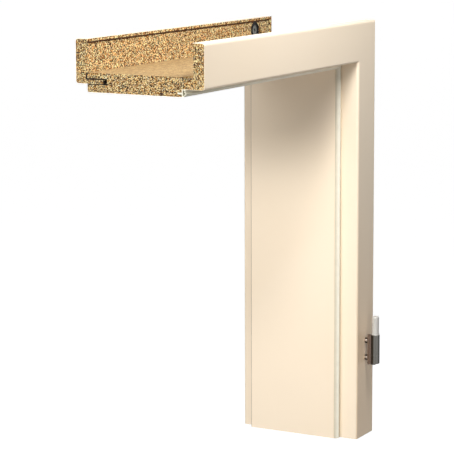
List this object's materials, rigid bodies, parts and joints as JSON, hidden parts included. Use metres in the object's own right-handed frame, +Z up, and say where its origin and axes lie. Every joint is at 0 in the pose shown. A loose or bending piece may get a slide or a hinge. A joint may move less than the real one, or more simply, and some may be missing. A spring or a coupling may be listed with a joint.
{
  "type": "door frame corner sample",
  "caption": "Mitred corner of an adjustable interior door frame: rebated lining, front and rear architraves, seal, corner fittings and the hinge's frame half.",
  "frame": {"origin": "on the wall side of the jamb's lining board, in the middle of the wall channel's depth and of the jamb's length", "axes": "+X out of the opening into the wall beside the jamb, -Y towards the rebated front with the hinge, +Y towards the adjustable rear, +Z up"},
  "size_m": [0.566, 0.235, 0.686],
  "materials": {
    "faced_board": "satin cream foil on chipboard, raw on the wall side and at the sawn ends",
    "seal": "soft light grey seal",
    "dark_plastic": "moulded, satin",
    "cam_metal": "die-cast zinc",
    "plated_steel": "zinc plated",
    "hinge_steel": "satin nickel-coloured steel",
    "light_plastic": "smooth, light",
    "beech": "plain dowel"
  },
  "bodies": {
    "frame": {"head_lining": "faced_board", "jamb_lining": "faced_board", "head_front_architrave": "faced_board", "jamb_front_architrave": "faced_board", "head_seal": "seal", "jamb_seal": "seal", "front_connector_housing": "dark_plastic", "front_connector_anchor": "dark_plastic", "front_connector_bolt": "plated_steel", "corner_dowel_1": "beech", "corner_dowel_2": "beech", "corner_dowel_3": "beech", "hinge_barrel": "hinge_steel", "hinge_pin": "plated_steel", "hinge_receiver": "plated_steel", "hinge_arm_upper": "plated_steel", "hinge_collar_upper": "hinge_steel", "clamp_screw_upper": "plated_steel", "receiver_screw_upper": "plated_steel", "hinge_arm_lower": "plated_steel", "hinge_collar_lower": "hinge_steel", "clamp_screw_lower": "plated_steel", "receiver_screw_lower": "plated_steel"},
    "rear_architraves": {"head_rear_architrave": "faced_board", "jamb_rear_architrave": "faced_board", "rear_connector_housing": "dark_plastic", "rear_connector_anchor": "dark_plastic", "rear_connector_bolt": "plated_steel"},
    "rear_cam": {"rear_connector_cam": "cam_metal"},
    "front_cam": {"front_connector_cam": "cam_metal"},
    "hinge_sleeve": {"hinge_sleeve": "light_plastic"}
  },
  "joints": [
    {"name": "rear_architrave_slide", "type": "slide", "parent": "frame", "child": "rear_architraves", "axis": [0, 1, 0], "range_m": [-0.0014, 0.015]},
    {"name": "rear_cam_turn", "type": "hinge", "parent": "rear_architraves", "child": "rear_cam", "pos_m": [-0.00827, 0.0925, 0.3615], "axis": [0, 1, 0], "range_deg": [-180, 0]},
    {"name": "front_cam_turn", "type": "hinge", "parent": "frame", "child": "front_cam", "pos_m": [-0.00827, -0.093, 0.3615], "axis": [0, 1, 0], "range_deg": [-180, 0]},
    {"name": "hinge_sleeve_turn", "type": "hinge", "parent": "frame", "child": "hinge_sleeve", "pos_m": [0.016, -0.123, -0.1186], "axis": [0, 0, 1], "continuous": true}
  ]
}
